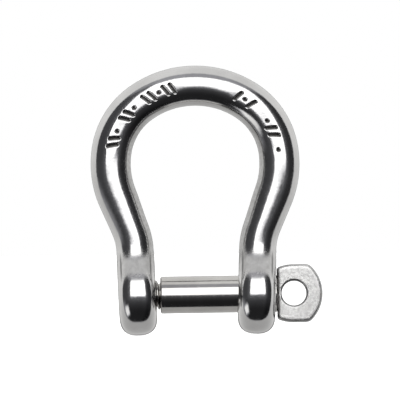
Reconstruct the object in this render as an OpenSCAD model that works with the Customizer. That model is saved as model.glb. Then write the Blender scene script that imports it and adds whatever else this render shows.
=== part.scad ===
// Bow shackle with a screw pin, nominal size 5 mm, in stainless steel.
// The origin is on the pin's axis, midway between the two ears. +X runs along
// the pin towards its eye, +Z towards the crown of the bow, and Y is the depth.
// The pin's thread is drawn as a plain cylinder of its crest diameter.

/* [Bow] */
// Diameter of the bar round the crown
crown_bar_d = 5.4; // [5.1:0.1:5.8]
// Diameter of the bar where the legs run into the ears
leg_bar_d = 5; // [4.7:0.1:5]
// Height of the bar's centreline at the crown, above the pin's axis
crown_z = 28.15; // [27:0.05:30]
// Radius of the centreline over the top of the crown
top_r = 12.7; // [12:0.1:13.5]
// Direction in which the top arc ends, from straight up (degrees)
top_end = 34; // [30:1:38]
// Radius of the centreline round the shoulders
shoulder_r = 9.6; // [9.2:0.1:10]
// Direction in which the shoulder arc ends, from straight up (degrees)
shoulder_end = 80; // [76:1:84]
// Radius of the centreline down the sides
side_r = 11.8; // [11:0.1:12.5]
// Direction in which the side arc ends, from straight up (degrees)
side_end = 111; // [109:1:113]
// Radius of the outward curve that brings each leg upright above its ear
foot_r = 9; // [7:0.5:11]

/* [Ears] */
// Clear width of the jaw between the ears, along the pin
jaw_w = 11; // [10.6:0.1:11.4]
// Thickness of each ear
ear_t = 5.1; // [5.1:0.1:5.4]
// Diameter of each ear, round the pin's axis
ear_d = 10.8; // [10.4:0.1:11.4]
// Height at which the front of the bar starts to ramp out to the ear
ramp_z = 5.2; // [5.1:0.1:5.6]
// How far each ear leans in towards the jaw at its bottom (degrees)
ear_lean = 2; // [0:0.5:2.5]
// Chamfer at the mouths of the two holes
mouth_c = 0.25; // [0.1:0.05:0.4]

/* [Pin] */
// Diameter of the shank
pin_d = 5; // [4.8:0.1:5]
// Crest diameter of the screw thread on the pin's end
thread_d = 3.9; // [3.7:0.1:4]
// Space between the left ear and the shank's shoulder
shoulder_gap = 0.55; // [0.3:0.05:0.8]
// Chamfer on the shank's shoulder and on the thread's tip
shoulder_c = 0.25; // [0.1:0.05:0.4]
// How far the thread's tip stops short of the left ear's outer face
tip_recess = 0.4; // [0.2:0.1:0.8]
// Radial play of the thread in the left ear
thread_play = 0.05; // [0.04:0.01:0.08]
// Radial play of the shank in the right ear
shank_play = 0.09; // [0.06:0.01:0.1]

/* [Eye] */
// Thickness of the flattened eye
eye_t = 2.5; // [2.2:0.1:3]
// Height of the eye, across the pin
eye_h = 7.84; // [7.4:0.02:8.2]
// How far the eye reaches past the right ear
eye_reach = 6.3; // [6:0.1:6.8]
// Play between the right ear and the eye's root when the pin is screwed home
root_gap = 0.17; // [0.17:0.01:0.3]
// Radius of the bulged outer end
bulge_r = 5.1; // [4.8:0.1:5.6]
// Radius of the curves that narrow the eye towards the ear
neck_r = 5; // [4.6:0.1:5.4]
// Diameter of the hole through the eye
hole_d = 3.3; // [3:0.1:3.6]
// Distance from the right ear to the hole's centre
hole_reach = 2.45; // [2.3:0.05:2.6]
// Chamfer at the hole's two mouths
hole_c = 0.3; // [0.1:0.05:0.4]

/* [Hidden] */
$fn = 96;

// Where two lengths of the bar meet, the step in radius and the overlap
bar_step = 0.02;
lap_a = 0.6;
lap_l = 0.1;

// Centre of an ear at the pin, and the outer face of the ears
ear_x = jaw_w / 2 + ear_t / 2;
ear_face_x = jaw_w / 2 + ear_t;
ear_r = ear_d / 2;
// Direction, from straight up, in which the curve above each ear ends
leg_end = 90 + ear_lean;

// Unit vectors in the X-Z plane: towards direction a, measured clockwise from +Z,
// and the way a clockwise path runs where it passes that direction
function towards(a) = [sin(a), cos(a)];
function along(a) = [cos(a), -sin(a)];

// Each arc starts where the last one ends, with the same tangent
top_c = [0, crown_z - top_r];
shoulder_at = top_c + (top_r - shoulder_r) * towards(top_end);
side_at = shoulder_at + (shoulder_r - side_r) * towards(shoulder_end);
side_exit = side_at + side_r * towards(side_end);

// The straight stretch is as long as brings the leg in line with its ear
taper_l = ((([ear_x, 0] - side_exit) * towards(leg_end))
    + foot_r * (1 - cos(side_end - leg_end))) / (along(side_end) * towards(leg_end));
taper_exit = side_exit + taper_l * along(side_end);
foot_at = taper_exit + foot_r * towards(side_end);
leg_top = foot_at - foot_r * towards(leg_end);

// The ramp's flat front touches the ear's rim in this direction, above straight out
ramp_a = atan2(ramp_z, leg_bar_d / 2) - acos(ear_r / norm([leg_bar_d / 2, ramp_z]));
// The ramp is round-edged like the rim, and slightly thinner
rim_r = ear_t / 2;
ramp_bar_r = rim_r - 0.06;
// The ramp's centreline, from inside the rim to inside the bar, in the Y-Z plane
ramp_foot = (ear_r - ramp_bar_r) * [cos(ramp_a), sin(ramp_a)];
ramp_head = [leg_bar_d / 2, ramp_z] - ramp_bar_r * [cos(ramp_a), sin(ramp_a)];

// Ends of the pin's two diameters, and the eye's root and far end
tip_x = -(ear_face_x - tip_recess);
shoulder_x = -(jaw_w / 2 - shoulder_gap);
root_x = ear_face_x + root_gap;
eye_end_x = ear_face_x + eye_reach;
hole_x = ear_face_x + hole_reach;

// Bar of radius r bent round the centre c, between two directions from +Z
module bent_bar(c, bend_r, a0, a1, r)
    translate([c[0], 0, c[1]])
        rotate([90, 0, 0])
            rotate([0, 0, 90 - a1])
                rotate_extrude(angle = a1 - a0)
                    translate([bend_r, 0])
                        circle(r = r);

// Straight bar from just before p in the X-Z plane, running as a path does at direction a
module straight_bar(p, a, l, r0, r1)
    translate([p[0], 0, p[1]])
        rotate([0, 90 + a, 0])
            translate([0, 0, -lap_l])
                cylinder(h = l + lap_l, r1 = r0, r2 = r1);

// One side of the bow, from the end of the top arc down to the ear. Each length is
// a hair thinner than the one before it and starts a little way inside it.
module leg() {
    crown_r = crown_bar_d / 2;
    leg_r = leg_bar_d / 2;
    bent_bar(shoulder_at, shoulder_r, top_end - lap_a, shoulder_end, crown_r - bar_step);
    bent_bar(side_at, side_r, shoulder_end - lap_a, side_end, crown_r - 2 * bar_step);
    straight_bar(side_exit, side_end, taper_l, crown_r - 3 * bar_step, leg_r + bar_step);
    bent_bar(foot_at, foot_r, leg_end + 180, side_end + 180 + lap_a, leg_r);
    straight_bar(leg_top, leg_end, norm(leg_top - [ear_x, 0]), leg_r - bar_step, leg_r - bar_step);
}

// Disc with a full-round rim, about the X axis
module rimmed_disc()
    rotate([0, 90, 0])
        rotate_extrude() {
            translate([ear_r - rim_r, 0])
                circle(r = rim_r);
            translate([0, -ear_t / 2])
                square([ear_r - rim_r, ear_t]);
        }

// Round-edged ramp from the bar out to the front of the rim
module ramp()
    translate([0, ramp_foot[0], ramp_foot[1]])
        rotate([90 - ramp_a, 0, 0])
            union() {
                cylinder(h = norm(ramp_head - ramp_foot), r = ramp_bar_r);
                translate([0, 0, norm(ramp_head - ramp_foot)])
                    sphere(r = ramp_bar_r);
            }

module ear()
    translate([ear_x, 0, 0])
        rotate([0, ear_lean, 0]) {
            rimmed_disc();
            ramp();
            mirror([0, 1, 0])
                ramp();
        }

// Hole through the right-hand ear, chamfered at both mouths
module ear_hole(r) {
    through = 1;
    translate([jaw_w / 2 - through, 0, 0])
        rotate([0, 90, 0])
            cylinder(h = ear_t + 2 * through, r = r);
    for (x = [jaw_w / 2, ear_face_x])
        for (side = [0, 180])
            translate([x, 0, 0])
                rotate([0, 90 + side, 0])
                    cylinder(h = mouth_c, r1 = r + mouth_c, r2 = r);
}

module bow() {
    color("silver")
        difference() {
            union() {
                bent_bar(top_c, top_r, -top_end, top_end, crown_bar_d / 2);
                for (side = [0, 1])
                    mirror([side, 0, 0]) {
                        leg();
                        ear();
                    }
            }
            ear_hole(pin_d / 2 + shank_play);
            mirror([1, 0, 0])
                ear_hole(thread_d / 2 + thread_play);
        }
}

// Threaded end, shoulder and shank, turned about the X axis up to the eye's root
module pin_shank() {
    thread_r = thread_d / 2;
    shank_r = pin_d / 2;
    color("silver")
        rotate([0, 90, 0])
            rotate_extrude()
                rotate(90)
                    polygon([
                        [tip_x, 0],
                        [tip_x, -(thread_r - shoulder_c)],
                        [tip_x + shoulder_c, -thread_r],
                        [shoulder_x, -thread_r],
                        [shoulder_x, -(shank_r - shoulder_c)],
                        [shoulder_x + shoulder_c, -shank_r],
                        [root_x, -shank_r],
                        [root_x, 0],
                    ]);
}

// Flat outline of the eye in the X-Z plane, without its hole
module eye_outline() {
    bulge_x = eye_end_x - bulge_r;
    widest_x = hole_x - hole_c / 2;
    intersection() {
        translate([bulge_x, 0])
            circle(r = bulge_r);
        translate([widest_x, -eye_h / 2])
            square([eye_end_x - widest_x, eye_h]);
    }
    intersection() {
        translate([widest_x, eye_h / 2 - neck_r])
            circle(r = neck_r);
        translate([widest_x, neck_r - eye_h / 2])
            circle(r = neck_r);
        translate([root_x, -eye_h / 2])
            square([widest_x - root_x, eye_h]);
    }
}

module pin_eye() {
    color("gainsboro")
        difference() {
            rotate([90, 0, 0])
                linear_extrude(height = eye_t, center = true)
                    eye_outline();
            translate([hole_x, 0, 0])
                rotate([90, 0, 0])
                    cylinder(h = 2 * eye_t, d = hole_d, center = true);
            for (side = [-1, 1])
                translate([hole_x, side * eye_t / 2, 0])
                    rotate([side * 90, 0, 0])
                        cylinder(h = hole_c, r1 = hole_d / 2 + hole_c, r2 = hole_d / 2);
        }
}

bow();
pin_shank();
pin_eye();
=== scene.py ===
"""Bow shackle with a screw pin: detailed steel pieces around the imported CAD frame.

Shapes are worked out in millimetres and written in metres. +X runs along the pin
towards its eye, +Z to the crown of the bow, and the camera looks along +Y.
"""
import math

import bpy
import numpy as np
from mathutils import Matrix, Vector
from mathutils.kdtree import KDTree


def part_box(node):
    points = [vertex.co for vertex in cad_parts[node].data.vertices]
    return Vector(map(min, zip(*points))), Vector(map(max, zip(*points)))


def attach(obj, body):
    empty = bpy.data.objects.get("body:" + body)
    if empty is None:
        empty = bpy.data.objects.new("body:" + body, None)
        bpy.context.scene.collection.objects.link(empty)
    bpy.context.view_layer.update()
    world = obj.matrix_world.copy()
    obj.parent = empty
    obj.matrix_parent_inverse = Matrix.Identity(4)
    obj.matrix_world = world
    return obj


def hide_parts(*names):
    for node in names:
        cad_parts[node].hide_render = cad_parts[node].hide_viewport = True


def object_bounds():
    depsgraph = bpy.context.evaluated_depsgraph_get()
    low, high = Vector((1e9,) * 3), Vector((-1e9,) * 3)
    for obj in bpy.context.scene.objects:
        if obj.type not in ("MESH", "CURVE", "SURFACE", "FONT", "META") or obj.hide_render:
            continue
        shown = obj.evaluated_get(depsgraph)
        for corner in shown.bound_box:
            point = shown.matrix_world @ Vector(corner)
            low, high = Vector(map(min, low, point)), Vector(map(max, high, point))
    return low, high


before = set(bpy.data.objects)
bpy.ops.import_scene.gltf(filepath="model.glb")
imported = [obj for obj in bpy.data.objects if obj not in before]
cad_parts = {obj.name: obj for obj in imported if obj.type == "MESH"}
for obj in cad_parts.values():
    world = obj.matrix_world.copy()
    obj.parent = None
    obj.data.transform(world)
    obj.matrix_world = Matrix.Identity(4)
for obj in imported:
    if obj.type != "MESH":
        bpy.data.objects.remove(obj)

MM = 0.001
CAD_LO, CAD_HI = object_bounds()


def box_mm(node):
    """Lowest and highest corner of a CAD node, in millimetres."""
    lo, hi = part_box(node)
    return np.array(lo) / MM, np.array(hi) / MM


BOW_LO, BOW_HI = box_mm("bow")
SHANK_LO, SHANK_HI = box_mm("pin_shank")
EYE_LO, EYE_HI = box_mm("pin_eye")

# The bow's centreline, as in part.scad
TOP_R, TOP_END = 12.7, 34.0
SHOULDER_R, SHOULDER_END = 9.6, 80.0
SIDE_R, SIDE_END = 11.8, 111.0
FOOT_R = 9.0
LEG_END = 92.0
CROWN_BAR_R, LEG_BAR_R = 2.7, 2.5
EAR_R = -BOW_LO[2]
EAR_HALF_T = 2.55
EAR_X = 8.05
# Half the bar's depth above the ears and round the crown, where it is forged flatter,
# and the length from the crown's middle at which it starts to deepen
FOOT_DEPTH, CROWN_DEPTH = 2.56, 2.42
DEEPEN_S = 13.0

# The pin: its shank, the thread's tip, shoulder and crest, the eye's root, and the
# rounding of the shoulder and of the root
SHANK_R = SHANK_HI[1]
TIP_X = SHANK_LO[0]
SHOULDER_X = -4.95
ROOT_X = SHANK_HI[0]
THREAD_R = 1.95
PITCH = 0.7
THREAD_DEPTH = 0.43
THREAD_PLAY = 0.05
SHOULDER_SOFT, ROOT_SOFT = 0.28, 0.12

# The eye: its far end, its thickness and half its height, the radii of its outline and
# where they join, its hole, and the rounding of its edge and of the hole's mouths
EYE_END_X = EYE_HI[0]
EYE_T = EYE_HI[1] - EYE_LO[1]
EYE_H = EYE_HI[2]
BULGE_R = 5.1
NECK_R = 5.0
JOIN_X = 12.9
HOLE_X = 13.05
HOLE_R = 1.65
EDGE_SOFT, MOUTH_SOFT = 0.5, 0.34
# Depth, from the middle, of a loop of points on the flat of the eye's edge
EDGE_Y = 0.4


# ---------------------------------------------------------------- mesh helpers

def new_object(name, verts_mm, faces, loop_normals=None, material=None):
    """Mesh object from points in millimetres, with a normal for each corner if given."""
    mesh = bpy.data.meshes.new(name)
    mesh.from_pydata((np.asarray(verts_mm) * MM).tolist(), [], faces)
    mesh.validate()
    mesh.polygons.foreach_set("use_smooth", np.ones(len(mesh.polygons), bool))
    obj = bpy.data.objects.new(name, mesh)
    bpy.context.scene.collection.objects.link(obj)
    if material is not None:
        mesh.materials.append(material)
    if loop_normals is not None:
        mesh.normals_split_custom_set(np.asarray(loop_normals).tolist())
    return obj


def unit(v):
    return v / np.maximum(np.linalg.norm(v, axis=-1, keepdims=True), 1e-12)


def lathe(name, profile, segments, material):
    """Closed solid turned about X. The profile runs from axis to axis in pairs of
    (x, radius, normal along x, normal outward), one pair for each length of it."""
    angle = np.linspace(0, 2 * math.pi, segments, endpoint=False)
    ring = np.stack([np.zeros(segments), np.cos(angle), np.sin(angle)], 1)
    points = [profile[0][0]] + [pair[1] for pair in profile]
    verts, start = [], []
    for x, r, *_ in points:
        start.append(len(verts))
        if r < 1e-9:
            verts.append([x, 0, 0])
        else:
            verts.extend((ring * r + [x, 0, 0]).tolist())
    faces, normals = [], []
    for k, (a, b) in enumerate(profile):
        ia, ib = start[k], start[k + 1]
        for j in range(segments):
            j2 = (j + 1) % segments
            na0, na1 = (ring[j] * a[3] + [a[2], 0, 0], ring[j2] * a[3] + [a[2], 0, 0])
            nb0, nb1 = (ring[j] * b[3] + [b[2], 0, 0], ring[j2] * b[3] + [b[2], 0, 0])
            if a[1] < 1e-9:
                faces.append([ia, ib + j2, ib + j])
                normals.extend([na0 + na1, nb1, nb0])
            elif b[1] < 1e-9:
                faces.append([ia + j, ia + j2, ib])
                normals.extend([na0, na1, nb0 + nb1])
            else:
                faces.append([ia + j, ia + j2, ib + j2, ib + j])
                normals.extend([na0, na1, nb1, nb0])
    return new_object(name, verts, faces, unit(np.array(normals, float)), material)


def rounding(centre, radius, a0, a1, steps):
    """Profile pairs round a quarter circle, between two angles from +X in degrees."""
    a = np.radians(np.linspace(a0, a1, steps + 1))
    pts = [(centre[0] + radius * math.cos(t), centre[1] + radius * math.sin(t),
            math.cos(t), math.sin(t)) for t in a]
    return list(zip(pts[:-1], pts[1:]))


def straight(x0, r0, x1, r1):
    """Profile pair for a straight length, its normal to the left of its direction."""
    length = math.hypot(x1 - x0, r1 - r0)
    n = (-(r1 - r0) / length, (x1 - x0) / length)
    return [((x0, r0, *n), (x1, r1, *n))]


# ------------------------------------------------------------------- materials
# Noise scales are per metre, and the distances of the bumps are in metres.

# The steels' colours, the darkest and lightest of each
BOW_DARK, BOW_LIGHT = (0.553, 0.549, 0.545), (0.633, 0.629, 0.625)
PIN_DARK, PIN_LIGHT = (0.49, 0.48, 0.465), (0.57, 0.56, 0.543)
EYE_DARK, EYE_LIGHT = (0.56, 0.555, 0.55), (0.78, 0.78, 0.77)
# Where the bow is worn or unpolished, with painted shade inside it; near black in its marks
# and creases, partly rough steel and partly painted shade; painted shade on the eye's tumbled
# edges
WORN_AND_SHADE = (0.16, 0.157, 0.152)
PUNCHED_AND_SHADE = (0.07, 0.068, 0.066)
TUMBLED_EDGE_SHADE = (0.4, 0.4, 0.4)


def new_material(name):
    """New material with its node tree and its shader."""
    material = bpy.data.materials.new(name)
    material.use_nodes = True
    tree = material.node_tree
    return material, tree, tree.nodes["Principled BSDF"]


def add(tree, kind, **values):
    """New node with its properties and its inputs' default values."""
    node = tree.nodes.new(kind)
    for key, value in values.items():
        if key in node.inputs:
            node.inputs[key].default_value = value
        else:
            setattr(node, key, value)
    return node


def combine(tree, operation, a, b, c=None):
    """Result of a math node whose inputs are numbers or sockets."""
    node = add(tree, "ShaderNodeMath", operation=operation)
    for socket, value in zip(node.inputs, (a, b, c)):
        if isinstance(value, (int, float)):
            socket.default_value = value
        elif value is not None:
            tree.links.new(value, socket)
    return node.outputs[0]


def noise(tree, coords, scale, detail=3.0, roughness=0.5):
    """Noise from about 0.35 to 0.65."""
    node = add(tree, "ShaderNodeTexNoise", Scale=scale, Detail=detail, Roughness=roughness)
    tree.links.new(coords, node.inputs["Vector"])
    return node.outputs["Fac"]


def spread(tree, value, low, high, from_low=0.35, from_high=0.65):
    """Maps a noise value to a range."""
    node = add(tree, "ShaderNodeMapRange")
    node.inputs["From Min"].default_value = from_low
    node.inputs["From Max"].default_value = from_high
    node.inputs["To Min"].default_value = low
    node.inputs["To Max"].default_value = high
    tree.links.new(value, node.inputs["Value"])
    return node.outputs["Result"]


def bump(tree, height, distance, under=None):
    """Normal of a surface raised by the height, over another bump if given."""
    node = add(tree, "ShaderNodeBump", Strength=1.0, Distance=distance)
    tree.links.new(height, node.inputs["Height"])
    if under is not None:
        tree.links.new(under, node.inputs["Normal"])
    return node.outputs["Normal"]


def blend_colour(tree, value, first, second):
    """Colour from the first to the second as a value goes from 0 to 1. Either may be
    three numbers or a socket."""
    node = add(tree, "ShaderNodeMix", data_type="RGBA")
    sockets = [s for s in node.inputs if s.type == "RGBA"]
    for socket, colour in zip(sockets, (first, second)):
        if isinstance(colour, tuple):
            socket.default_value = (*colour, 1)
        else:
            tree.links.new(colour, socket)
    tree.links.new(value, node.inputs["Factor"])
    return [s for s in node.outputs if s.type == "RGBA"][0]


def tint(tree, value, dark, light):
    """Colour between two greys, by a noise value."""
    return blend_colour(tree, spread(tree, value, 0.0, 1.0), dark, light)


def attribute(tree, name):
    return add(tree, "ShaderNodeAttribute", attribute_name=name).outputs["Fac"]


def stretched(tree, coords, x, y, z):
    """Coordinates scaled along each axis, for a noise that runs in streaks."""
    node = add(tree, "ShaderNodeMapping")
    node.inputs["Scale"].default_value = (x, y, z)
    tree.links.new(coords, node.inputs["Vector"])
    return node.outputs["Vector"]


def polished_steel():
    """Stainless steel polished to a mirror, with the slight waviness and fine grain of
    a polished forging. It is painted darker inside the bow, as shade, keeps some rough
    forged skin above the ears, and is painted near black in its punched marks and creases,
    partly as rough unpolished steel and partly as painted shade."""
    material, tree, shader = new_material("polished_steel")
    coords = add(tree, "ShaderNodeTexCoord").outputs["Object"]
    shader.inputs["Metallic"].default_value = 1.0
    cloud = noise(tree, coords, 260, 3)
    grain = noise(tree, coords, 4200, 3, 0.6)
    speck = noise(tree, coords, 2600, 2, 0.6)
    streak = noise(tree, stretched(tree, coords, 1, 1, 0.15), 1700, 3, 0.6)
    # Near black in the punched marks and the creases: partly rough unpolished steel, partly
    # painted shade in these recesses
    marks_and_shade = spread(tree, attribute(tree, "mark_and_crease_shade"), 0.0, 1.0, 0.15, 0.8)
    skin = attribute(tree, "skin")
    inner_shade = attribute(tree, "inner_shade")

    bare = tint(tree, cloud, BOW_DARK, BOW_LIGHT)
    smudge = combine(tree, "MULTIPLY", skin, spread(tree, streak, 0.26, 0.0))
    # The rough skin darkens in streaks, which is real wear; the inside of the bow is darkened
    # as painted shade
    wear_and_shade = combine(tree, "MULTIPLY_ADD", inner_shade, spread(tree, speck, 0.55, 0.3), smudge)
    bare = blend_colour(tree, wear_and_shade, bare, WORN_AND_SHADE)
    colour = blend_colour(tree, marks_and_shade, bare, PUNCHED_AND_SHADE)
    tree.links.new(colour, shader.inputs["Base Color"])

    rough = combine(tree, "MULTIPLY_ADD", marks_and_shade, 0.35, spread(tree, grain, 0.08, 0.16))
    rough = combine(tree, "MULTIPLY_ADD", skin, 0.24, rough)
    tree.links.new(rough, shader.inputs["Roughness"])
    waves = bump(tree, noise(tree, coords, 330, 2), 0.000028)
    fine = bump(tree, grain, 0.000003, waves)
    pits = combine(tree, "MULTIPLY", speck, skin)
    tree.links.new(bump(tree, pits, 0.000007, fine), shader.inputs["Normal"])
    return material


def turned_steel():
    """Polished steel with the fine rings that turning leaves round the pin."""
    material, tree, shader = new_material("turned_steel")
    coords = add(tree, "ShaderNodeTexCoord").outputs["Object"]
    shader.inputs["Metallic"].default_value = 1.0
    cloud = noise(tree, coords, 300, 3)
    rings = noise(tree, stretched(tree, coords, 1, 0.02, 0.02), 9000, 3, 0.6)
    tree.links.new(tint(tree, cloud, PIN_DARK, PIN_LIGHT), shader.inputs["Base Color"])
    tree.links.new(spread(tree, rings, 0.07, 0.17), shader.inputs["Roughness"])
    tree.links.new(bump(tree, rings, 0.0000012), shader.inputs["Normal"])
    return material


def blasted_steel():
    """Stainless steel with a fine, uneven blasted grain, tumbled smooth at the edges, whose
    colour is painted darker there as shade.
    """
    material, tree, shader = new_material("blasted_steel")
    coords = add(tree, "ShaderNodeTexCoord").outputs["Object"]
    shader.inputs["Metallic"].default_value = 1.0
    cloud = noise(tree, coords, 420, 3)
    grain = noise(tree, coords, 3600, 4, 0.65)
    rim = attribute(tree, "rim")
    face = tint(tree, grain, EYE_DARK, EYE_LIGHT)
    # The rounded edges are painted darker, as shade, and are also smoother
    tree.links.new(blend_colour(tree, rim, face, TUMBLED_EDGE_SHADE), shader.inputs["Base Color"])
    rough = combine(tree, "MULTIPLY_ADD", rim, -0.28, spread(tree, cloud, 0.40, 0.50))
    tree.links.new(rough, shader.inputs["Roughness"])
    tree.links.new(bump(tree, grain, 0.00002), shader.inputs["Normal"])
    return material


POLISHED = polished_steel()
TURNED = turned_steel()
BLASTED = blasted_steel()


# ------------------------------------------------------------- thread and tubes

def helix_radius(x, angle):
    """Radius of the right-hand thread, with flat crests and rounded roots."""
    phase = np.mod((x - TIP_X) / PITCH - angle / (2 * math.pi), 1.0)
    cut = np.clip((np.abs(phase - 0.5) * 2 - 0.16) / 0.66, 0, 1)
    cut = cut * cut * (3 - 2 * cut) * 0.35 + cut * 0.65
    return THREAD_R - THREAD_DEPTH * cut


def thread_radius(x, angle):
    """The pin's thread, tapered at its tip."""
    tip = THREAD_R - 0.45 + (x - TIP_X) * 0.9
    return np.minimum(helix_radius(x, angle), tip)


def tube(name, xs, radius, count, material):
    """Closed solid about X between flat ends, from its radius at each x and angle."""
    angle = np.linspace(0, 2 * math.pi, count, endpoint=False)
    x, t = np.meshgrid(xs, angle, indexing="ij")
    r = radius(x, t)
    verts = np.stack([x, r * np.cos(t), r * np.sin(t)], -1).reshape(-1, 3)
    faces = []
    j = np.arange(count)
    j2 = (j + 1) % count
    for k in range(len(xs) - 1):
        a, b = k * count, (k + 1) * count
        faces.extend(np.stack([a + j, a + j2, b + j2, b + j], 1).tolist())
    first, last = len(verts), len(verts) + 1
    verts = np.concatenate([verts, [[xs[0], 0, 0], [xs[-1], 0, 0]]])
    faces.extend([[first, int(y), int(z)] for y, z in zip(j2, j)])
    top = (len(xs) - 1) * count
    faces.extend([[last, int(y) + top, int(z) + top] for y, z in zip(j, j2)])
    return new_object(name, verts, faces, None, material)


# ------------------------------------------------------------------------- bow

def towards(a):
    return np.array([math.sin(math.radians(a)), math.cos(math.radians(a))])


def along(a):
    return np.array([math.cos(math.radians(a)), -math.sin(math.radians(a))])


# Each arc starts where the last one ends, with the same tangent. Points are (x, z).
top_c = np.array([0, BOW_HI[2] - CROWN_BAR_R - TOP_R])
shoulder_c = top_c + (TOP_R - SHOULDER_R) * towards(TOP_END)
side_c = shoulder_c + (SHOULDER_R - SIDE_R) * towards(SHOULDER_END)
side_exit = side_c + SIDE_R * towards(SIDE_END)
ear_c = np.array([EAR_X, 0])
TAPER_L = ((ear_c - side_exit) @ towards(LEG_END)
           + FOOT_R * (1 - math.cos(math.radians(SIDE_END - LEG_END)))) / (
               along(SIDE_END) @ towards(LEG_END))
taper_exit = side_exit + TAPER_L * along(SIDE_END)
foot_c = taper_exit + FOOT_R * towards(SIDE_END)
leg_top = foot_c - FOOT_R * towards(LEG_END)
LEG_L = np.linalg.norm(leg_top - ear_c)

# One row for each length: how long it is, its direction at each end, the start point
# of a straight one, and the centre and radius of an arc, below 0 where it bends outward
ARCS = [
    (TOP_R * math.radians(TOP_END), 0, TOP_END, None, top_c, TOP_R),
    (SHOULDER_R * math.radians(SHOULDER_END - TOP_END), TOP_END, SHOULDER_END, None,
     shoulder_c, SHOULDER_R),
    (SIDE_R * math.radians(SIDE_END - SHOULDER_END), SHOULDER_END, SIDE_END, None,
     side_c, SIDE_R),
    (TAPER_L, SIDE_END, SIDE_END, side_exit, None, None),
    (FOOT_R * math.radians(SIDE_END - LEG_END), SIDE_END, LEG_END, None, foot_c, -FOOT_R),
    (LEG_L + EAR_R, LEG_END, LEG_END, leg_top, None, None),
]
# Length from the crown's middle to the taper, the foot, the leg, the pin and the end
STARTS = np.cumsum([0] + [a[0] for a in ARCS])
TAPER_S, FOOT_S, LEG_S, END_S = STARTS[3:]
PIN_S = LEG_S + LEG_L


def path(s):
    """Point, direction in degrees and turn per mm of the right half at length s."""
    k = min(int(np.searchsorted(STARTS, s, side="right")) - 1, len(ARCS) - 1)
    length, a0, a1, start, centre, radius = ARCS[k]
    t = s - STARTS[k]
    if start is not None:
        return start + t * along(a0), a0, 0.0
    a = a0 + (a1 - a0) * t / length
    return centre + radius * towards(a), a, 1 / radius


# A surface is found by halving a range, out to further than the ear or the eye reaches
HALVINGS = 40
SEARCH_R, EYE_SEARCH_R = 9.0, 7.0
# Step over which a field's slope is measured, in mm or radians
SLOPE_STEP = 0.004


def smooth_min(a, b, k):
    """The lesser of two values, blended where they are within k of each other."""
    k = np.maximum(k, 1e-6)
    h = np.maximum(k - np.abs(a - b), 0) / k
    return np.minimum(a, b) - h * h * k / 4


# The ear's rim in section: the power of its curve and its reach in from the edge
RIM_P = 2.5
RIM_A = 2.45
# The ear's front and back run up to the bar in a straight ramp, and end this high
RAMP_Z = 5.6
RAMP_A = math.atan2(RAMP_Z, LEG_BAR_R) - math.acos(EAR_R / math.hypot(LEG_BAR_R, RAMP_Z))
# How far the bar and the ramp are blended into each other
FILLET = 0.7


def disc_field(u, v, w):
    """Below 0 inside the ear's disc and ramps, whose rim is nearly full-round: u
    across the ear, v in depth and w up, from its middle."""
    v = np.abs(v)
    on_ramp = np.arctan2(w, v) > RAMP_A
    rho = np.where(on_ramp, v * math.cos(RAMP_A) + w * math.sin(RAMP_A), np.hypot(v, w))
    rim = np.maximum(rho - (EAR_R - RIM_A), 0) / RIM_A
    return ((rim ** RIM_P + np.abs(u / EAR_HALF_T) ** RIM_P) ** (1 / RIM_P) - 1) * RIM_A


def with_ear(bar, u, v, w, sin):
    """The bar's field run into the disc's, with a soft hollow at the front and back
    and none at the sides, where the two are level."""
    return smooth_min(bar, disc_field(u, v, w), FILLET * np.abs(sin))


def ear_field(u, v, w):
    """Below 0 inside the ear and the foot of the bar, in the ear's own frame."""
    bar = np.hypot(np.hypot(u, v), np.minimum(w, 0)) - LEG_BAR_R
    return with_ear(bar, u, v, w, v / np.maximum(np.hypot(u, v), 1e-9))


def ear_coords(x, z):
    """Across and up in the right ear's own frame, from x and z in millimetres."""
    a = math.radians(LEG_END)
    x = x - ear_c[0]
    return x * math.sin(a) + z * math.cos(a), -x * math.cos(a) + z * math.sin(a)


# The punched marks: radius and depth of the punch, half a dash's length and its
# slant, and half a dot's length
DENT_R = 0.3
DENT_DEPTH = 0.22
DASH_HALF, DASH_SLANT = 0.68, 0.35
DOT_HALF = 0.06
# The crease down each edge of the hollow above an ear
CREASE_U, CREASE_W, CREASE_DEPTH = 2.0, 0.13, 0.05
# Lowest and highest point above the pin, and softness of the ends, of the crease and
# of the rough skin
CREASE_RUN = (2.2, 5.6, 2.2)
SKIN_RUN = (2.6, 5.9, 2.4)
# How rough the sides of the legs are, where 1 is unpolished
SATIN = 0.28
# Depth of the flat that the marks are punched on, and how softly it ends
FLAT, FLAT_SOFT = 0.07, 2.4


def mark_dents(side, s, across):
    """Depth of the plain punched dashes and dots on the front of a shoulder."""
    depth = np.zeros(np.broadcast(s, across).shape)
    for at, kind in MARKS[side]:
        half, slant = (DASH_HALF, DASH_SLANT) if kind == "dash" else (DOT_HALF, 0.0)
        t = np.clip(across, -half, half)
        dist = np.hypot(s - at - slant * t, across - t)
        depth = np.maximum(depth, DENT_DEPTH * np.maximum(1 - (dist / DENT_R) ** 2, 0) ** 1.3)
    return depth


def mark_row(start, pattern, pitch):
    """Places and kinds of the marks in a row, a space for a gap."""
    return [(start + k * pitch, "dash" if c == "-" else "dot")
            for k, c in enumerate(pattern) if c != " "]


# The row on each shoulder, by side, and the stretch of bar that is flattened for it
MARKS = {
    -1: mark_row(2.9, "--.-- .-- .--", 0.98),
    1: mark_row(6.2, "-.-  .-- .", 1.05),
}
MARK_RUN = {-1: (2.2, 15.4), 1: (5.4, 16.3)}


def window(s, lo, hi, soft):
    """1 between lo and hi, falling smoothly to 0 outside."""
    up = np.clip((s - lo) / soft + 0.5, 0, 1)
    down = np.clip((hi - s) / soft + 0.5, 0, 1)
    t = np.minimum(up, down)
    return t * t * (3 - 2 * t)


def bar_radius(s):
    """Half the bar's width, which narrows along the taper."""
    t = np.clip((s - TAPER_S + 0.5) / (TAPER_L + 1.0), 0, 1)
    t = t * t * (3 - 2 * t)
    return CROWN_BAR_R + (LEG_BAR_R - CROWN_BAR_R) * t


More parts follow.
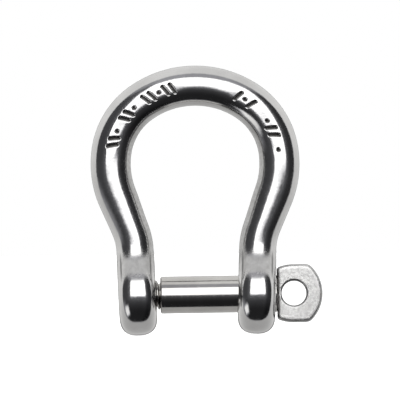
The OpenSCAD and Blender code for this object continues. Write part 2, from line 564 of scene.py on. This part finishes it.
def bar_depth(s):
    """Half the bar's depth, least at the shoulders and crown."""
    t = np.clip((LEG_S - s) / (LEG_S - DEEPEN_S), 0, 1)
    return FOOT_DEPTH + (CROWN_DEPTH - FOOT_DEPTH) * t


def ring_stations(side):
    """Lengths along half the bow at which it gets a ring of points."""
    lo, hi = MARK_RUN[side]
    upper = np.concatenate([
        np.linspace(0, lo, max(int(lo / 0.3), 2), endpoint=False),
        np.linspace(lo, hi, int((hi - lo) / 0.1), endpoint=False),
        np.linspace(hi, LEG_S, int((LEG_S - hi) / 0.35), endpoint=False),
    ])
    lower = LEG_S + LEG_L * np.linspace(0, 1, 42, endpoint=False)
    turn = np.linspace(0, 90, 37)[:-1]
    bottom = PIN_S + EAR_R * np.sin(np.radians(turn))
    return np.concatenate([upper, lower, bottom])


def angles():
    """Angles round a ring, closer together on the front, where the marks are, and at
    the back, where the hollows above the ears have their creases."""
    front = np.linspace(-140, -40, 78, endpoint=False)
    right = np.linspace(-40, 40, 20, endpoint=False)
    back = np.linspace(40, 140, 54, endpoint=False)
    left = np.linspace(140, 220, 20, endpoint=False)
    return np.radians(np.concatenate([front, right, back, left]))


def ear_normals(points):
    """Normals of the ear's field at points in millimetres, either side."""
    side = np.sign(points[:, 0])
    u, w = ear_coords(np.abs(points[:, 0]), points[:, 2])
    v = points[:, 1]
    e = SLOPE_STEP
    gu = ear_field(u + e, v, w) - ear_field(u - e, v, w)
    gv = ear_field(u, v + e, w) - ear_field(u, v - e, w)
    gw = ear_field(u, v, w + e) - ear_field(u, v, w - e)
    a = math.radians(LEG_END)
    gx = gu * math.sin(a) - gw * math.cos(a)
    gz = gu * math.cos(a) + gw * math.sin(a)
    return unit(np.stack([gx * side, gv, gz], 1))


def half_bow(side):
    """Points, normals, and finish and painted shade of one half, from the crown to the ear's
    bottom, ring by ring, and the point that closes it."""
    stations = ring_stations(side)
    phi = angles()
    at = [path(s) for s in stations]
    centre = np.array([p for p, _, _ in at])
    a = np.radians([d for _, d, _ in at])
    turn = np.array([k for _, _, k in at])
    out = np.stack([np.sin(a), np.zeros_like(a), np.cos(a)], 1)
    ahead = np.stack([np.cos(a), np.zeros_like(a), -np.sin(a)], 1)
    depth_dir = np.array([0, 1.0, 0])
    cos, sin = np.cos(phi)[None, :], np.sin(phi)[None, :]
    s = stations[:, None]

    # The bar: its radius, slightly flattened on the front where it is marked
    r = 1 / np.sqrt((cos / bar_radius(s)) ** 2 + (sin / bar_depth(s)) ** 2)
    lo, hi = MARK_RUN[side]
    flat = FLAT * window(s, lo, hi, FLAT_SOFT)
    face = (bar_depth(s) - flat) / np.maximum(-sin, 0.2)
    r = np.where(sin < -0.3, smooth_min(r, face, 0.05), r)
    across = bar_radius(s) * (phi[None, :] + math.pi / 2)
    dents = np.where(np.abs(across) < 2, mark_dents(side, s, across), 0)
    r = r - dents

    # The foot of the leg and the ear
    low = stations >= FOOT_S
    below = np.maximum(stations[low] - LEG_S - LEG_L, 0)[:, None]
    bar = r[low]
    near, far = np.zeros_like(bar), np.full_like(bar, SEARCH_R)
    for _ in range(HALVINGS):
        mid = (near + far) / 2
        u, w = ear_coords(centre[low, None, 0] + mid * cos * out[low, None, 0],
                          centre[low, None, 1] + mid * cos * out[low, None, 2])
        solid = with_ear(np.hypot(mid, below) - bar, u, mid * sin, w, sin) < 0
        near, far = np.where(solid, mid, near), np.where(solid, far, mid)
    r[low] = (near + far) / 2
    up = PIN_S - s
    crease = np.exp(-((np.abs(r * cos) - CREASE_U) / CREASE_W) ** 2)
    crease = crease * window(up, *CREASE_RUN) * (np.abs(sin) > 0.3)
    r = r - CREASE_DEPTH * crease

    # The finish and painted shade: dark in the marks and creases, partly as painted shade
    # there, rough skin, and painted shade inside the bow
    # Marks and creases are made dark, partly as rough steel and partly as painted shade in the
    # recesses
    dark = np.maximum(dents / DENT_DEPTH, 0.6 * crease)
    skin = window(up, *SKIN_RUN) * np.abs(sin) ** 0.5
    satin = SATIN * window(s, TAPER_S - 4, LEG_S + 1.0, 6.0) * np.abs(cos)
    skin = np.maximum(skin, satin)
    # Painted shade: the inner side of the bow is darkened as if it were in shadow
    inside = np.clip((-cos - 0.45) / 0.4, 0, 1)
    inner_shade = inside * window(s, 9.0, PIN_S - 3.5, 5.0)

    wide = np.concatenate([phi[-1:] - 2 * math.pi, phi, phi[:1] + 2 * math.pi])
    padded = np.concatenate([r[:, -1:], r, r[:, :1]], axis=1)
    r_phi = np.gradient(padded, wide, axis=1)[:, 1:-1]
    r_s = np.gradient(r, stations, axis=0)
    radial = cos[..., None] * out[:, None, :] + sin[..., None] * depth_dir
    around = -sin[..., None] * out[:, None, :] + cos[..., None] * depth_dir
    points = np.stack([centre[:, 0], np.zeros(len(centre)), centre[:, 1]], 1)[:, None, :]
    points = points + r[..., None] * radial
    stretch = 1 + turn[:, None] * r * cos
    normals = (radial - (r_phi / r)[..., None] * around
               - (r_s / stretch)[..., None] * ahead[:, None, :])

    # Below the pin's axis the normals come from the ear's field
    under = stations >= PIN_S
    normals[under] = ear_normals(points[under].reshape(-1, 3)).reshape(-1, len(phi), 3)
    normals = unit(normals)
    if side < 0:
        points = points * [-1, 1, 1]
        normals = normals * [-1, 1, 1]
    pole = path(END_S)[0]
    pole = np.array([pole[0] * side, 0, pole[1]])
    return points, normals, pole, np.stack([dark, skin, inner_shade])


def bow_mesh():
    """Points, faces, normals, and finish and painted shade of the whole bow, before its holes.
    """
    left, left_n, left_pole, left_f = half_bow(-1)
    right, right_n, right_pole, right_f = half_bow(1)
    rings = np.concatenate([left[::-1], right[1:]])
    normals = np.concatenate([left_n[::-1], right_n[1:]])
    count, n = rings.shape[:2]
    verts = np.concatenate([rings.reshape(-1, 3), [left_pole, right_pole]])
    vert_normals = np.concatenate([normals.reshape(-1, 3),
                                   [[-0.035, 0, -1], [0.035, 0, -1]]])
    faces = []
    j = np.arange(n)
    j2 = (j + 1) % n
    for k in range(count - 1):
        a, b = k * n, (k + 1) * n
        faces.extend(np.stack([a + j, b + j, b + j2, a + j2], 1).tolist())
    first, last = count * n, count * n + 1
    faces.extend([[first, int(x), int(y)] for x, y in zip(j, j2)])
    top = (count - 1) * n
    faces.extend([[last, int(y) + top, int(x) + top] for x, y in zip(j, j2)])
    finish_and_shade = np.concatenate([left_f[:, ::-1], right_f[:, 1:]], axis=1).reshape(3, -1)
    finish_and_shade = np.concatenate([finish_and_shade, np.zeros((3, 2))], axis=1)
    return verts, faces, unit(vert_normals), finish_and_shade


# Radius of each ear's hole, its two faces and the rounding of its mouths
HOLES = {1: (2.59, 5.5, 10.6, 0.25), -1: (2.0, -5.5, -10.6, 0.3)}
# Steepest slope that a hole's wall is shaded with
STEEPEST = 6


def hole_radius(side, x, angle):
    """Radius of an ear's hole. The left one has the thread that the pin's fits."""
    r, x_in, x_out, mouth = HOLES[side]
    near = np.minimum(np.abs(x - x_in), np.abs(x_out - x))
    inside = (x - x_in) * (x_out - x) > 0
    d = np.where(inside, np.clip(mouth - near, 0, mouth), mouth)
    wall = np.full_like(d, r)
    if side < 0:
        wall = helix_radius(x, angle) + THREAD_PLAY
    return np.maximum(wall, np.where(d > 0, r + mouth - np.sqrt(mouth ** 2 - d ** 2), 0))


def hole_cutter(side):
    """Solid that an ear's hole is cut with."""
    _, x_in, x_out, mouth = HOLES[side]
    lo, hi = min(x_in, x_out), max(x_in, x_out)
    flare = mouth * (1 - np.cos(np.radians(np.linspace(0, 90, 9)))[:-1])
    step = 0.05 if side < 0 else 0.5
    middle = np.linspace(lo + mouth, hi - mouth, int((hi - lo) / step))
    xs = np.concatenate([[lo - 1, lo - 1e-4], lo + flare, middle, hi - flare[::-1],
                         [hi + 1e-4, hi + 1]])
    return tube(f"cut_{side}", xs, lambda x, t: hole_radius(side, x, t), 96, None)


def hole_normals(points, side):
    """Normals of a hole's wall and rounded mouths at points in millimetres."""
    x, y, z = points.T
    r = np.hypot(y, z)
    angle = np.arctan2(z, y)
    e = SLOPE_STEP
    slope = (hole_radius(side, x + e, angle) - hole_radius(side, x - e, angle)) / (2 * e)
    slope = np.clip(slope, -STEEPEST, STEEPEST)
    twist = (hole_radius(side, x, angle + e) - hole_radius(side, x, angle - e)) / (2 * e)
    twist = twist / np.maximum(r, 1e-6)
    out_y, out_z = y / np.maximum(r, 1e-6), z / np.maximum(r, 1e-6)
    return unit(np.stack([slope, -out_y - twist * out_z, -out_z + twist * out_y], 1))


def build_bow():
    """The bow with its two holes, each corner with its true normal."""
    verts, faces, vert_normals, finish_and_shade = bow_mesh()
    bow = new_object("bow_body", verts, faces, None, POLISHED)
    bow.data.materials.append(POLISHED)
    cutters = []
    for side in HOLES:
        cutter = hole_cutter(side)
        cutter.data.materials.append(POLISHED)
        cutter.data.materials.append(POLISHED)
        cutter.data.polygons.foreach_set(
            "material_index", np.ones(len(cutter.data.polygons), np.int32))
        modifier = bow.modifiers.new("hole", "BOOLEAN")
        modifier.operation = "DIFFERENCE"
        modifier.solver = "EXACT"
        modifier.object = cutter
        cutters.append(cutter)
    bpy.context.view_layer.update()
    cut = bow.evaluated_get(bpy.context.evaluated_depsgraph_get())
    mesh = bpy.data.meshes.new_from_object(cut)
    bow.modifiers.clear()
    bow.data = mesh
    for cutter in cutters:
        bpy.data.objects.remove(cutter)

    # Each corner gets the true surface's normal, on the outside or in a hole
    co = np.zeros(len(mesh.vertices) * 3, np.float32)
    mesh.vertices.foreach_get("co", co)
    co = co.reshape(-1, 3).astype(float) / MM
    tree = KDTree(len(verts))
    for k, p in enumerate(verts):
        tree.insert(p, k)
    tree.balance()
    found = [tree.find(p)[1:] for p in co]
    nearest = np.array([k for k, _ in found])
    known = np.array([d for _, d in found]) < 0.001
    outer = vert_normals[nearest]
    outer[~known] = ear_normals(co[~known])
    # Attributes for the steel: marks and creases partly painted shade, rough skin, and painted
    # shade inside the bow
    for name, values in zip(("mark_and_crease_shade", "skin", "inner_shade"), finish_and_shade):
        layer = mesh.attributes.new(name, "FLOAT", "POINT")
        layer.data.foreach_set("value", np.where(known, values[nearest], 0).astype(np.float32))
    wall = np.zeros_like(co)
    for side in HOLES:
        pick = co[:, 0] * side > 0
        wall[pick] = hole_normals(co[pick], side)
    corner_vert = np.zeros(len(mesh.loops), np.int32)
    mesh.loops.foreach_get("vertex_index", corner_vert)
    index = np.zeros(len(mesh.polygons), np.int32)
    mesh.polygons.foreach_get("material_index", index)
    size = np.zeros(len(mesh.polygons), np.int32)
    mesh.polygons.foreach_get("loop_total", size)
    in_hole = np.repeat(index == 1, size)
    normals = np.where(in_hole[:, None], wall[corner_vert], outer[corner_vert])
    mesh.polygons.foreach_set("material_index", np.zeros(len(mesh.polygons), np.int32))
    mesh.materials.pop(index=1)
    mesh.normals_split_custom_set(normals.tolist())
    return bow


# --------------------------------------------------------------------- the pin

def build_shank():
    """The plain part of the pin, with a rounded shoulder where the thread begins."""
    soft, root = SHOULDER_SOFT, ROOT_SOFT
    profile = straight(SHOULDER_X, 0, SHOULDER_X, SHANK_R - soft)
    profile += rounding((SHOULDER_X + soft, SHANK_R - soft), soft, 180, 90, 8)
    profile += straight(SHOULDER_X + soft, SHANK_R, ROOT_X - root, SHANK_R)
    profile += rounding((ROOT_X - root, SHANK_R - root), root, 90, 0, 4)
    profile += straight(ROOT_X, SHANK_R - root, ROOT_X, 0)
    return lathe("pin_shank_body", profile, 192, TURNED)


def build_thread():
    """The threaded end of the pin. It turns with the eye, so that the screw turns
    in its ear as it travels."""
    count = 96
    end = SHOULDER_X + 0.02
    xs = np.linspace(TIP_X, end, int((end - TIP_X) / 0.035))
    thread = tube("pin_thread", xs, thread_radius, count, TURNED)
    for polygon in list(thread.data.polygons)[-2 * count:]:
        polygon.use_smooth = False
    return thread


# --------------------------------------------------------------------- the eye

def eye_outline(x, z):
    """Below 0 inside the eye's outline, with softly rounded corners."""
    bulge = np.hypot(x - (EYE_END_X - BULGE_R), z) - BULGE_R
    neck = np.hypot(x - JOIN_X, np.abs(z) + NECK_R - EYE_H) - NECK_R
    flank = np.where(x < JOIN_X, neck, np.abs(z) - EYE_H)
    field = -smooth_min(-bulge, -flank, 0.35)
    return -smooth_min(-field, -(ROOT_X - x), 0.3)


def build_eye():
    """The flattened eye: a stamped plate with soft edges and a drilled, rounded hole."""
    soft, mouth = EDGE_SOFT, MOUTH_SOFT
    half = EYE_T / 2
    count = 288
    angle = np.linspace(0, 2 * math.pi, count, endpoint=False)
    cos, sin = np.cos(angle), np.sin(angle)

    def reach(inset):
        """Distance from the hole's axis to the outline, moved in by the inset."""
        near, far = np.full(count, HOLE_R), np.full(count, EYE_SEARCH_R)
        for _ in range(HALVINGS):
            mid = (near + far) / 2
            inside = eye_outline(HOLE_X + mid * cos, mid * sin) < -inset
            near, far = np.where(inside, mid, near), np.where(inside, far, mid)
        return (near + far) / 2

    # Each loop has its distances from the hole's axis, its depth, and how far it is on a
    # rounded edge, which is smoother and painted darker as shade
    loops = []
    q = np.radians(np.linspace(0, 90, 9))
    for t in q:
        loops.append((np.full(count, HOLE_R + mouth - mouth * math.cos(t)),
                      half - mouth + mouth * math.sin(t), math.cos(t)))
    inner, outer = np.full(count, HOLE_R + mouth), reach(soft)
    for k in range(1, 9):
        loops.append((inner + (outer - inner) * k / 9, half, 0))
    for t in q:
        loops.append((reach(soft - soft * math.sin(t)), half - soft + soft * math.cos(t),
                      min(max(3 * math.sin(t) - 1.6, 0), 1)))
    loops.append((reach(0), EDGE_Y, 1))
    loops += [(r, -y, wear_and_shade) for r, y, wear_and_shade in loops[::-1]]
    verts, rim = [], []
    for r, y, wear_and_shade in loops:
        x, z = HOLE_X + r * cos, r * sin
        verts.append(np.stack([x, np.full(count, -y), z], 1))
        rim.append(np.full(count, wear_and_shade))
    verts = np.concatenate(verts)
    faces = []
    j = np.arange(count)
    j2 = (j + 1) % count
    for k in range(len(loops)):
        a, b = k * count, ((k + 1) % len(loops)) * count
        faces.extend(np.stack([a + j, b + j, b + j2, a + j2], 1).tolist())
    eye = new_object("pin_eye_plate", verts, faces, None, BLASTED)
    # How far each point is on a rounded edge, which the steel makes smoother and paints darker
    # as shade
    layer = eye.data.attributes.new("rim", "FLOAT", "POINT")
    layer.data.foreach_set("value", np.concatenate(rim).astype(np.float32))
    return eye


bow = build_bow()
shank = build_shank()
thread = build_thread()
eye = build_eye()

for piece, body, nodes, slot in [
        (bow, "bow", ["bow"], "polished_steel"),
        (shank, "pin_shank", ["pin_shank"], "polished_steel"),
        (thread, "pin_eye", [], "polished_steel"),
        (eye, "pin_eye", ["pin_eye"], "blasted_steel")]:
    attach(piece, body)
    if nodes:
        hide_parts(*nodes)


# ---------------------------------------------------------- floor, light, camera

def build_floor():
    """Plain pale floor, just under the ears. The steel doesn't reflect it."""
    size = 1.5
    drop = 0.00002
    z = CAD_LO[2] - drop
    mesh = bpy.data.meshes.new("floor")
    corners = [(-size, -size, z), (size, -size, z), (size, size, z), (-size, size, z)]
    mesh.from_pydata(corners, [], [(0, 1, 2, 3)])
    floor = bpy.data.objects.new("floor", mesh)
    bpy.context.scene.collection.objects.link(floor)
    material, _, shader = new_material("pale_floor")
    shader.inputs["Base Color"].default_value = (0.5, 0.5, 0.5, 1)
    shader.inputs["Roughness"].default_value = 1.0
    shader.inputs["Specular IOR Level"].default_value = 0.0
    shader.inputs["Emission Color"].default_value = (1, 1, 1, 1)
    shader.inputs["Emission Strength"].default_value = 0.9
    mesh.materials.append(material)
    floor.visible_glossy = False
    return floor


def times(tree, first, *rest):
    """Product of numbers or sockets."""
    for value in rest:
        first = combine(tree, "MULTIPLY", first, value)
    return first


def rise(tree, value, lo, hi):
    """0 below lo, smoothly up to 1 above hi. With lo above hi it falls instead."""
    node = add(tree, "ShaderNodeMapRange", interpolation_type="SMOOTHSTEP")
    ends = (lo, hi) if lo < hi else (hi, lo)
    node.inputs["From Min"].default_value = ends[0]
    node.inputs["From Max"].default_value = ends[1]
    node.inputs["To Min"].default_value = 0.0 if lo < hi else 1.0
    node.inputs["To Max"].default_value = 1.0 if lo < hi else 0.0
    tree.links.new(value, node.inputs["Value"])
    return node.outputs["Result"]


def sine(degrees):
    return math.sin(math.radians(degrees))


def patch(tree, z, azimuth, up, across):
    """1 on a soft-edged rectangle of the sky and 0 outside. Its four elevations and its
    four azimuths, in degrees, are where it starts and ends rising and falling."""
    low, full_low, full_high, high = (sine(angle) for angle in up)
    left, full_left, full_right, right = (math.radians(angle) for angle in across)
    return times(tree, rise(tree, z, low, full_low), rise(tree, z, high, full_high),
                 rise(tree, azimuth, left, full_left), rise(tree, azimuth, right, full_right))


# How bright the softbox and the reflector are, where the paper behind is about 1, and
# their elevations and azimuths
SOFTBOX, REFLECTOR = 2.6, 1.3
SOFTBOX_UP, SOFTBOX_ACROSS = (-5, 4, 40, 50), (-28, -21, 31, 39)
REFLECTOR_UP, REFLECTOR_ACROSS = (-56, -44, -31, -18), (-80, -68, -48, -38)
# The same for the dark opening behind, which takes most of the light away, and its pane
OPENING, PANE = -0.8, 1.6
# Tint of what the cloth reflects, and of the paper and the lights
CLOTH_TINT, LIGHT_TINT = (0.96, 0.965, 1.03), (1.0, 0.998, 0.99)


def build_studio():
    """The light that the steel sees: white paper behind and overhead, and black cloth
    on the camera's side with a large softbox and a small reflector in it. Azimuth is 0
    towards the camera, in radians. The camera itself sees plain white."""
    world = bpy.data.worlds.new("studio")
    bpy.context.scene.world = world
    world.use_nodes = True
    tree = world.node_tree
    tree.nodes.clear()
    split = add(tree, "ShaderNodeSeparateXYZ")
    tree.links.new(add(tree, "ShaderNodeTexCoord").outputs["Generated"], split.inputs[0])
    x, y, z = split.outputs
    azimuth = combine(tree, "ARCTAN2", x, times(tree, y, -1.0))

    # White paper, dimmer towards the ground
    below = combine(tree, "MINIMUM", z, 0.0)
    above = combine(tree, "MAXIMUM", z, 0.0)
    edge = combine(tree, "MULTIPLY_ADD", below, -0.10, y)
    edge = combine(tree, "MULTIPLY_ADD", times(tree, above, above), 0.40, edge)
    paper = rise(tree, edge, -0.08, 0.02)
    level = combine(tree, "MULTIPLY_ADD", rise(tree, z, -1.0, 0.25), 0.43, 0.54)
    light = times(tree, paper, level)

    # A dark opening straight behind, with a bright pane in it, mainly for the back views
    opening = combine(tree, "MULTIPLY_ADD", rise(tree, y, 0.88, 0.95), OPENING, 1.0)
    pane = times(tree, rise(tree, y, 0.984, 0.992), PANE)
    light = combine(tree, "ADD", times(tree, light, opening), pane)

    # Black cloth, a little lighter near the horizon and overhead, round the softbox and
    # low on the left, and darker on the right
    cloth = combine(tree, "MULTIPLY_ADD", rise(tree, z, -0.75, -0.1), 0.055, 0.022)
    glow = times(tree, rise(tree, z, -0.35, 0.0), rise(tree, azimuth, -0.9, -0.3),
                 rise(tree, azimuth, 1.1, 0.5), 0.10)
    side = combine(tree, "MULTIPLY_ADD", rise(tree, azimuth, 0.5, 0.9), -0.5, 1.0)
    cloth = combine(tree, "ADD", times(tree, cloth, side), glow)
    corner = times(tree, rise(tree, z, -0.08, -0.35), rise(tree, z, -0.97, -0.7),
                   rise(tree, azimuth, -0.9, -1.5), 0.29)
    cloth = combine(tree, "ADD", cloth, corner)
    gap = times(tree, rise(tree, z, 0.70, 0.78), 0.30)
    light = combine(tree, "MAXIMUM", light, combine(tree, "ADD", cloth, gap))

    # The softbox, and a small reflector low on the left
    box = patch(tree, z, azimuth, SOFTBOX_UP, SOFTBOX_ACROSS)
    card = patch(tree, z, azimuth, REFLECTOR_UP, REFLECTOR_ACROSS)
    light = combine(tree, "MAXIMUM", light, times(tree, box, SOFTBOX))
    light = combine(tree, "MAXIMUM", light, times(tree, card, REFLECTOR))
    white = combine(tree, "MAXIMUM", paper, combine(tree, "MAXIMUM", box, card))

    # What the cloth reflects is slightly blue, and the rest is white
    colour = blend_colour(tree, white, CLOTH_TINT, LIGHT_TINT)
    seen = add(tree, "ShaderNodeBackground")
    tree.links.new(colour, seen.inputs["Color"])
    tree.links.new(light, seen.inputs["Strength"])
    plain = add(tree, "ShaderNodeBackground", Strength=1.0)
    plain.inputs["Color"].default_value = (1, 1, 1, 1)
    mix = add(tree, "ShaderNodeMixShader")
    is_camera = add(tree, "ShaderNodeLightPath").outputs["Is Camera Ray"]
    tree.links.new(is_camera, mix.inputs[0])
    tree.links.new(seen.outputs[0], mix.inputs[1])
    tree.links.new(plain.outputs[0], mix.inputs[2])
    out = add(tree, "ShaderNodeOutputWorld")
    tree.links.new(mix.outputs[0], out.inputs["Surface"])


def build_camera():
    """Straight on, from far away, tilted slightly about its own axis."""
    distance = 1.0
    frame_w = 0.0539
    aim = Vector((0.00059, 0, 0.01274))
    tilt = math.radians(0.9)
    data = bpy.data.cameras.new("camera")
    data.sensor_width = 36
    data.lens = data.sensor_width * distance / frame_w
    data.clip_start, data.clip_end = 0.05, 10
    camera = bpy.data.objects.new("camera", data)
    bpy.context.scene.collection.objects.link(camera)
    right = Vector((math.cos(tilt), 0, -math.sin(tilt)))
    up = Vector((math.sin(tilt), 0, math.cos(tilt)))
    back = Vector((0, -1, 0))
    turn = Matrix((right, up, back)).transposed().to_4x4()
    camera.matrix_world = Matrix.Translation(aim + back * distance) @ turn
    bpy.context.scene.camera = camera


build_floor()
build_studio()
build_camera()
bpy.context.scene.view_settings.view_transform = "Standard"
